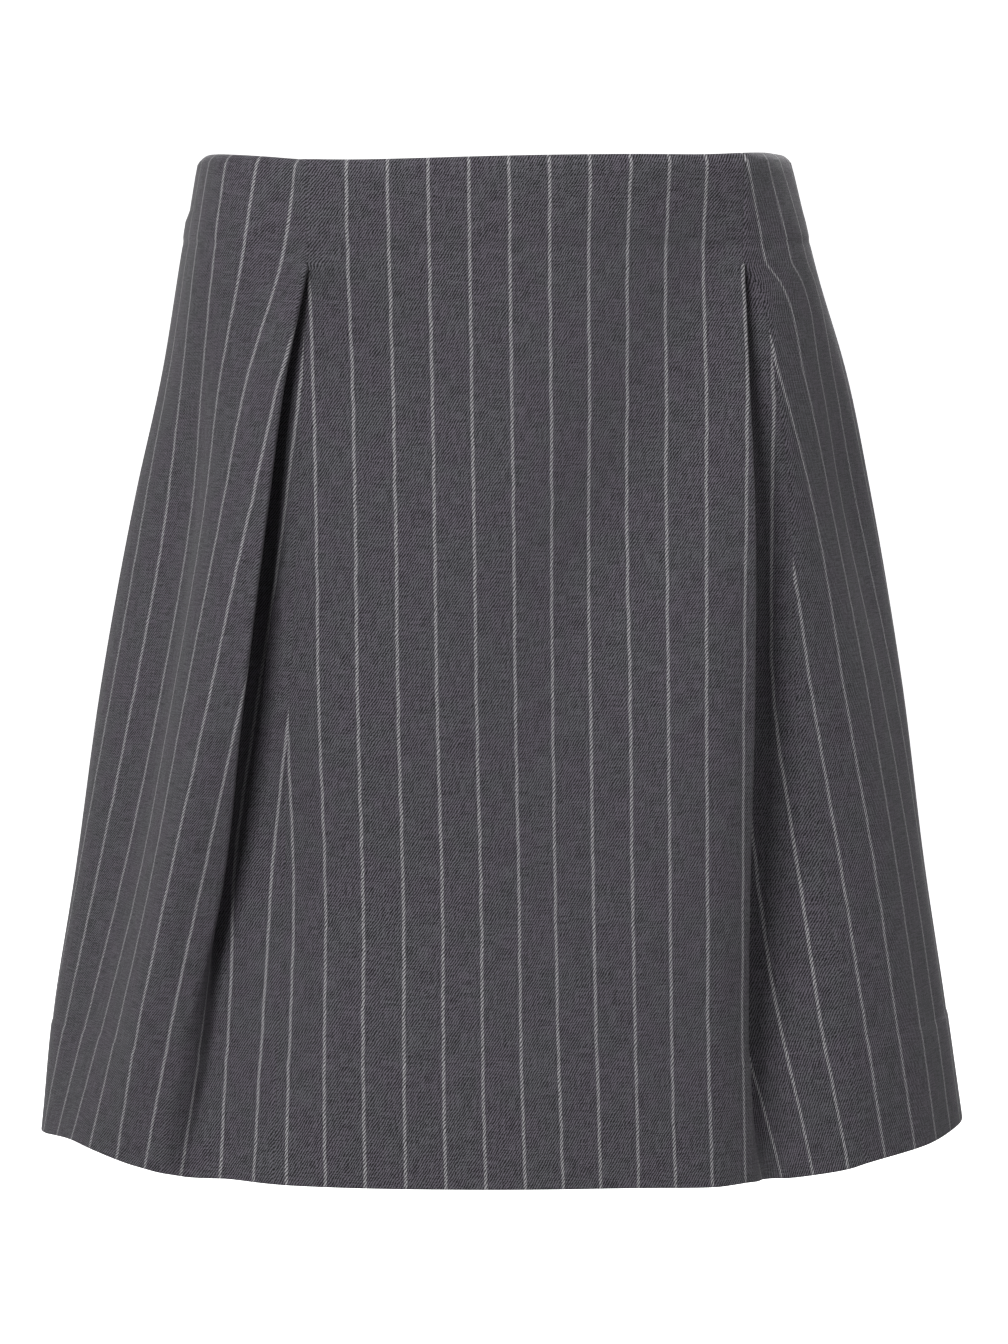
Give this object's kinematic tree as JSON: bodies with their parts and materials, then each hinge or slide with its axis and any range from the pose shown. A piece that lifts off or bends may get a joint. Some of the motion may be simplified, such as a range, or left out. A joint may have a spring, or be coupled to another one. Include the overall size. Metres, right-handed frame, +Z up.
{
  "type": "mini skirt",
  "caption": "Short A-line skirt in pinstriped wool, filled out as worn, with released front pleats and a zip at the centre back.",
  "frame": {"origin": "middle of the waist opening, at the height of the side seams' top edge", "axes": "+Z up, the front faces -Y, the wearer's left is at +X"},
  "size_m": [0.4171, 0.2856, 0.4386],
  "materials": {
    "wool_pinstripe": "grey wool twill with fine paler stripes",
    "zip_tape": "woven tape",
    "zip_metal": "satin dark grey"
  },
  "bodies": {
    "skirt": {"front_centre": "wool_pinstripe", "front_side_right": "wool_pinstripe", "front_side_left": "wool_pinstripe", "back_left": "wool_pinstripe", "back_right": "wool_pinstripe", "zip_tape_left": "zip_tape", "zip_tape_right": "zip_tape", "zip_slider": "zip_metal"},
    "pull": {"zip_pull": "zip_metal"}
  },
  "joints": [
    {"name": "pull_swing", "type": "hinge", "parent": "skirt", "child": "pull", "pos_m": [0.00317, 0.09356, -0.01479], "axis": [1, 0, 0], "range_deg": [0, 150]}
  ]
}
